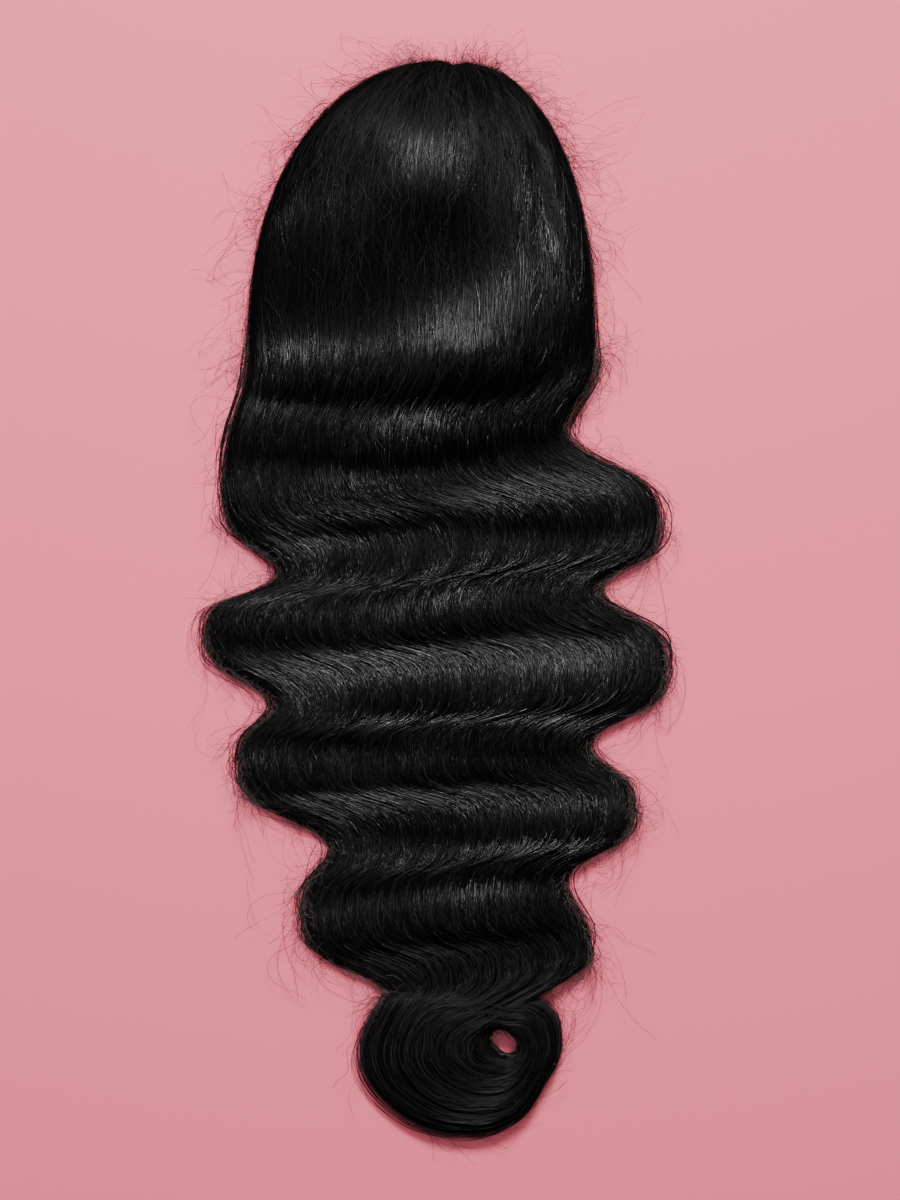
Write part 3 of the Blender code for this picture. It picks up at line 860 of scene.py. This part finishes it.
def short_strands(
    name, count, spacing, lengths, stations, widths, frizz, lift, edge, least, material
):
    """Wisps that lie over the hair and stray across it, or along its edges only, where edge is
    how far in from them they lie at the most, as a share of the hair's breadth. They gleam by
    the least share given, where the hair under them gleams less."""
    start = along_hair(*stations, count)
    end = np.minimum(start + random.uniform(*lengths, count), DISTANCES[-1])
    seed = random.uniform(0.01, 0.99, count)
    if edge:
        inward = edge * random.uniform(0, 1, count)
        inward = np.where(random.uniform(0, 1, count) < 0.5, inward, -0.7 * inward**2 / edge)
        seed = np.where(random.uniform(0, 1, count) < 0.5, inward, 1 - inward)
    paths, ups, shares, shine = strand_paths(
        start, end, seed, spacing, WISP_WEAVE, frizz, WISP_LAG, lift
    )
    width = ragged(count, *widths) * taper(shares, *WISP_TAPER)
    return ribbons(name, paths, ups, width, np.maximum(shine, least), material)


def hair_body(material):
    """The whole sheet of hair as one closed form with a flat underside, hollowed for the cap."""
    head_rows, wave_rows, columns = 60, 135, 118
    rows = np.linspace(1, COIL_START, wave_rows)[1:]
    rows = np.r_[np.linspace(0.012, 1, head_rows), rows]
    angle = np.linspace(0, math.pi, columns)
    station = np.repeat(rows[:, None], columns, axis=1)
    power = mix(DOME_POWER, SHEET_POWER, np.clip(station - 1, 0, 1))
    turned = np.cos(angle)[None, :]
    seed = (1 - np.sign(turned) * np.abs(turned) ** (2 / power)) / 2
    top = surface(station, seed)
    width = np.linalg.norm(np.diff(top[len(rows) // 2], axis=0), axis=1).sum()
    uv = np.stack([seed * width, np.interp(station, STATIONS, DISTANCES)], axis=-1)
    # The underside has fewer columns. It curves in under the edges, and is raised over the curl
    edge_columns, curl_clearance = 4, 0.0025
    kept = np.r_[2, 4, np.arange(8, columns - 8, 9), columns - 5, columns - 3]
    low = top[:, kept].copy()
    tuck = np.minimum(kept, columns - 1 - kept)
    level = mix(UNDERSIDE, curl_clearance, ease(station[:, kept] - LAST_CREST))
    low[..., 2] = mix(top[:, kept, 2], level, np.clip(tuck / edge_columns, 0, 1) ** 0.5)
    points = np.concatenate([top.reshape(-1, 3), low.reshape(-1, 3)])
    index = np.arange(len(rows) * columns).reshape(len(rows), columns)
    under = len(rows) * columns + np.arange(low.shape[0] * low.shape[1])
    under = under.reshape(low.shape[:2])
    under = np.concatenate([index[:, :1], under, index[:, -1:]], axis=1)
    ends = []
    for row in (0, len(rows) - 1):
        loop = np.r_[index[row], under[row, 1:-1][::-1]]
        ends.append((loop if row == 0 else loop[::-1])[None, :])
    faces = [grid_faces(index)[:, ::-1], grid_faces(under), *ends]
    uv = np.concatenate([uv.reshape(-1, 2), uv[:, kept].reshape(-1, 2)])
    made = new_object("hair_form", points, faces, material, uv)
    return hollowed(made, cap_cutter(material))


def cap_cutter(material):
    """A solid a little larger than the cap, which reaches below the table."""
    net_low, net_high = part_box("weft_cap")
    lace_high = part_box("lace_front")[1]
    clearance, reach_below = 0.0012, 0.003
    width, height = net_high.x - net_low.x, net_high.z
    depth = lace_high.y - net_low.y
    centre_x, centre_y = (net_low.x + net_high.x) / 2, (net_low.y + lace_high.y) / 2
    rings, steps = 24, 96
    climb = np.linspace(0, math.pi / 2, rings + 1)[:-1, None]
    turn = np.linspace(0, TURN, steps, endpoint=False)[None, :]
    ring, up = np.cos(climb) ** (2 / CAP_POWER), np.sin(climb) ** (2 / CAP_POWER)
    forward = np.sin(turn) * ring
    half = (width / 2 + clearance) * (1 - CAP_EGG * forward)
    x = centre_x + half * np.cos(turn) * ring
    y = centre_y + (depth / 2 + clearance) * forward
    z = (height + clearance) * up + 0 * x
    shell = np.stack([x, y, z], axis=-1)
    below = shell[:1].copy()
    below[..., 2] = -reach_below
    body = np.concatenate([below, shell])
    top = len(body) * steps
    points = np.concatenate([body.reshape(-1, 3), [[centre_x, centre_y, height + clearance]]])
    index = np.arange(top).reshape(len(body), steps)
    wrapped = np.concatenate([index, index[:, :1]], axis=1)
    last = wrapped[-1]
    cone = np.stack([last[:-1], last[1:], np.full(steps, top)], axis=-1)
    faces = [grid_faces(wrapped), cone, index[:1, ::-1]]
    return new_object("cap_cutter", points, faces, material)


def hollowed(made, cutter):
    """Cuts one closed mesh out of another and removes the cutter."""
    hollow = made.modifiers.new("cap_hollow", "BOOLEAN")
    hollow.operation = "DIFFERENCE"
    hollow.solver = "EXACT"
    hollow.object = cutter
    evaluated = made.evaluated_get(bpy.context.evaluated_depsgraph_get())
    cut = bpy.data.meshes.new_from_object(evaluated)
    made.modifiers.remove(hollow)
    made.data = cut
    bpy.data.objects.remove(cutter)
    return made


def curl_body(material):
    """The end curl: a flat ring of hair round its open eye."""
    directions, rings = 180, 44
    strand_room, mean_reach = 0.001, 0.05
    direction = np.linspace(SEAT_END, SEAT_END + 360, directions + 1)[:-1]
    direction = direction[:, None] + np.zeros((1, rings))
    angle = np.linspace(0, math.pi, rings)
    across = (1 - np.sign(np.cos(angle)) * np.abs(np.cos(angle)) ** (2 / SHEET_POWER)) / 2
    inward = 1 - across[None, :] + 0 * direction
    x, y = coil_plan(direction, inward)
    z = coil_height(direction, inward) - strand_room
    top = np.stack([x, y, np.maximum(z, strand_room)], axis=-1)
    low = top[:, [0, -1]].copy()
    low[..., 2] = UNDERSIDE
    ring = np.concatenate([top, low[:, ::-1]], axis=1)
    columns = ring.shape[1]
    around = np.arange(directions + 1) % directions
    wrapped = around[:, None] * columns + np.arange(columns + 1) % columns
    uv_across = np.r_[across, across[-1], across[0]] * CURL_RADIUS
    uv_along = np.radians(direction[:, :1]) * mean_reach
    uv = np.stack(np.broadcast_arrays(uv_across[None, :], uv_along), axis=-1).reshape(-1, 2)
    return new_object("curl_form", ring.reshape(-1, 3), [grid_faces(wrapped)], material, uv)


def edge_places(count, *stations):
    """Random places along both edges of the hair: points, headings along it and outward turns."""
    station = np.interp(along_hair(*stations, count), DISTANCES, STATIONS)
    right = random.uniform(0, 1, count) < 0.5
    across = np.where(right, 1 - EDGE_SEED, EDGE_SEED)
    start = surface(station, across)
    ahead = surface(station + 0.01, across) - start
    return start, np.arctan2(ahead[:, 1], ahead[:, 0]), np.where(right, 1.0, -1.0)


def curl_places(count, *directions):
    """The same along the outer edge of the curl."""
    direction = random.uniform(*directions, count)
    x, y = coil_plan(direction, np.zeros(count))
    next_x, next_y = coil_plan(direction + 1, np.zeros(count))
    start = np.stack([x, y, random.uniform(0.002, 0.012, count)], axis=-1)
    return start, np.arctan2(next_y - y, next_x - x), np.full(count, -1.0)


def flyaways(name, places, points, lengths, leaving, curl, material):
    """Loose hairs that leave the outline and loop back over the table. They leave it at an
    angle between the two given, and curl gives the mean and spread of their curvature."""
    start, heading, outward = places
    count = len(start)
    heading = heading + outward * random.uniform(*leaving, count)
    length = random.uniform(*lengths, count)
    bend = -outward * random.normal(*curl, count)
    shares = np.linspace(0, 1, points)[None, :]
    wobble = random.normal(0, 0.5, (count, 1)) * np.sin(TURN * shares * ragged(count, 0.5, 1.5))
    angle = heading[:, None] + bend[:, None] * length[:, None] * shares + wobble
    step = (length / (points - 1))[:, None]
    x = start[:, :1] + np.cumsum(np.cos(angle) * step, axis=1)
    y = start[:, 1:2] + np.cumsum(np.sin(angle) * step, axis=1)
    z = mix(start[:, 2:], ragged(count, 0.002, 0.02), ease(shares * 1.5))
    paths = np.stack([x, y, z], axis=-1)
    within_x = np.abs(x).max(axis=1) < WAVE_SPAN / 2 + ROOM_X
    within_y = np.abs(y).max(axis=1) < WIG_LENGTH / 2 + ROOM_Y
    paths = paths[within_x & within_y]
    width = ragged(len(paths), 0.00015, 0.00027) * np.ones((1, points))
    return ribbons(name, paths, upward(paths), width, 1.0, material)


def eye_hairs(name, count, material):
    """Fine hairs that cut across the curl's eye."""
    first = random.uniform(0, 360, (count, 1))
    second = first + random.uniform(35, 120, (count, 1))
    shares = np.linspace(0, 1, 14)[None, :]
    reach = 1.25 * mix(eye_reach(first), eye_reach(second), shares)
    turn = np.radians(mix(first, second, shares))
    cut = 1 - ragged(count, 0.1, 0.6) * np.sin(math.pi * shares)
    x = EYE_CENTRE[0] + reach * cut * np.cos(turn)
    y = EYE_CENTRE[1] + reach * cut * np.sin(turn)
    z = ragged(count, 0.008, 0.019) + 0 * x
    paths = np.stack([x, y, z], axis=-1)
    width = ragged(count, 0.00015, 0.0003) * np.ones_like(shares)
    return ribbons(name, paths, upward(paths), width, 1.0, material)


def curl_hairs(name, count, material):
    """Fine hairs along the curl's outer edge, some of which stray out of it."""
    shares = np.linspace(0, 1, 20)[None, :]
    direction = random.uniform(100, 390, (count, 1)) + random.uniform(20, 90, (count, 1)) * shares
    distance = np.radians(direction) * curl_reach(direction)
    stray = waver(distance, 0.22, (0.03, 0.12)) / CURL_RADIUS
    inward = random.normal(0.035, 0.045, (count, 1)) + stray
    x, y = coil_plan(direction, inward)
    z = coil_height(direction, np.clip(inward, 0.02, 1)) * (1 - 0.85 * ease(-inward / 0.12))
    paths = np.stack([x, y, z + 0.001], axis=-1)
    outward = np.stack([x - EYE_CENTRE[0], y - EYE_CENTRE[1], 0 * x], axis=-1)
    ups = unit(unit(outward) + np.array([0, 0, 1.2]))
    width = ragged(count, 0.0002, 0.0004) * taper(shares, *WISP_TAPER)
    return ribbons(name, paths, ups, width, CURL_GLEAM, material)


def wall_strands(name, count, material):
    """Strands on the steep sides of the hair, from the table up to its rounded edges. More of
    them lie along the crown, where the sides are highest."""
    station = 0.01 + 9.4 * random.uniform(0, 1, (count, 1)) ** 2.2
    start = np.interp(station, STATIONS, DISTANCES)
    shares = np.linspace(0, 1, 32)[None, :]
    distance = start + ragged(count, 0.06, 0.20) * shares
    station = np.interp(distance, DISTANCES, STATIONS)
    right = random.uniform(0, 1, (count, 1)) < 0.5
    edge = surface(station, np.where(right, 1.0, 0.0) + 0 * station)
    outward = edge - surface(station, np.where(right, 0.97, 0.03) + 0 * station)
    outward[..., 2] = 0
    outward = unit(outward)
    height = ragged(count, 0.02, 1.1) + waver(distance, 0.12, (0.05, 0.15)) / edge[..., 2]
    bulge = 0.0003 + 0.0022 * np.sin(math.pi * np.clip(height, 0, 1)) * ragged(count, 0.6, 1.0)
    paths = edge + outward * bulge[..., None]
    paths[..., 2] = np.maximum(edge[..., 2] * height, LOWEST_STRAND)
    width = ragged(count, 0.0005, 0.0010) * taper(shares)
    return ribbons(name, paths, outward, width, 0.5, material)


def floor():
    bpy.ops.mesh.primitive_plane_add(size=12)
    made = bpy.context.object
    made.name = "floor"
    nodes = Nodes("floor")
    nodes.set(Roughness=0.9, Base_Color=(0.72, 0.118, 0.176, 1.0))
    made.data.materials.append(nodes.material)
    made.visible_glossy = False


def area_light(name, place, target, size, power, glossy=True):
    light = bpy.data.lights.new(name, "AREA")
    light.shape = "RECTANGLE"
    light.size, light.size_y = size
    light.energy = power
    made = bpy.data.objects.new(name, light)
    bpy.context.scene.collection.objects.link(made)
    made.location = place
    aim = Vector(target) - Vector(place)
    made.rotation_euler = aim.to_track_quat("-Z", "Y").to_euler()
    made.visible_glossy = glossy


def lights():
    area_light("key", (0.0, 1.55, 2.2), (0, 0.05, 0), (0.8, 0.5), 150)
    area_light("fill", (0.0, 0.0, 2.4), (0, 0, 0), (2.6, 2.6), 42, glossy=False)
    world = bpy.data.worlds.new("studio")
    world.use_nodes = True
    background = world.node_tree.nodes["Background"]
    background.inputs["Color"].default_value = (1.0, 0.98, 0.97, 1.0)
    background.inputs["Strength"].default_value = 0.04
    bpy.context.scene.world = world


def camera():
    """Straight above, with the photo's frame: 1200 of its pixels are 888 mm."""
    lens, sensor = 85.0, 36.0
    pixel, height_px = 0.00074, 1200
    data = bpy.data.cameras.new("camera")
    data.lens, data.sensor_width = lens, sensor
    made = bpy.data.objects.new("camera", data)
    bpy.context.scene.collection.objects.link(made)
    made.location = (0.010, -0.001, 0.015 + pixel * height_px * lens / sensor)
    bpy.context.scene.camera = made


def main():
    body, strand = hair_body_material(), strand_material()
    wisp, loose = painted_sheen_wisp_material(), flyaway_material()
    form = hair_body(body)
    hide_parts("crown_hair", "left_side_hair", "right_side_hair", "back_waves")
    curl = curl_body(body)
    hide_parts("end_curl")
    pieces = [form, curl]
    layers = (
        # name, count, spacing, widths, lift, weave, frizz
        ("under_strands", 640, 0.0112, (0.0008, 0.0012), (0.0000, 0.0008), 0.025, 0.06),
        ("middle_strands", 640, 0.0112, (0.0005, 0.0008), (0.0004, 0.0014), 0.03, 0.09),
        ("top_strands", 640, 0.0112, (0.0003, 0.0005), (0.0008, 0.0020), 0.035, 0.13),
    )
    for layer in layers:
        pieces.append(long_strands(*layer, strand))
    wisps = (
        # name, count, spacing, lengths, stations, widths, frizz, lift, edge, least
        ("wisps", 1500, 0.007, (0.05, 0.16), (0.5, 9.5), (0.00025, 0.0004), 0.22,
         (0.001, 0.003), 0, 0.3),
        ("root_wisps", 1500, 0.005, (0.03, 0.09), (0.02, 1.1), (0.00018, 0.00034), 0.34,
         (0.001, 0.003), 0, 0.3),
        ("edge_wisps", 1500, 0.006, (0.04, 0.13), (0.06, 9.6), (0.0002, 0.00032), 0.22,
         (-0.001, 0.002), 0.045, 0.3),
        ("curl_strands", 420, 0.005, (0.10, 0.30), (9.0, 14.5), (0.0003, 0.0006), 0.10,
         (0.0005, 0.002), 0, 0.3),
        ("curl_wisps", 640, 0.006, (0.04, 0.14), (9.3, 14.8), (0.0002, 0.00032), 0.34,
         (0.001, 0.003), 0, 0.3),
    )
    for layer, material in zip(wisps, (wisp, wisp, wisp, strand, wisp)):
        pieces.append(short_strands(*layer, material))
    flying = (
        # name, places, points, lengths, leaving, curl
        ("flyaway_hairs", edge_places(800, 0.3, 9.8), 26, (0.02, 0.09), (0.02, 0.8), (42, 28)),
        ("frizz", edge_places(1500, 0.10, 9.8), 14, (0.008, 0.030), (0.1, 1.5), (45, 60)),
        ("crown_frizz", edge_places(420, 0.02, 1.1), 22, (0.012, 0.055), (0.1, 2.2), (40, 40)),
        ("baby_hairs", edge_places(150, 0.0, 0.16), 12, (0.006, 0.020), (0.2, 2.8), (30, 90)),
        ("curl_frizz", curl_places(150, 100, 390), 18, (0.01, 0.05), (0.02, 0.5), (38, 30)),
    )
    for layer in flying:
        pieces.append(flyaways(*layer, loose))
    pieces.append(eye_hairs("eye_hairs", 44, loose))
    pieces.append(curl_hairs("curl_edge_hairs", 620, wisp))
    pieces.append(wall_strands("side_strands", 1100, strand))
    for piece in pieces:
        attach(piece, "root")
    for node, material in (("lace_front", lace_material()), ("weft_cap", net_material())):
        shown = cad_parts[node]
        shown.data.materials.clear()
        shown.data.materials.append(material)


main()
floor()
lights()
camera()
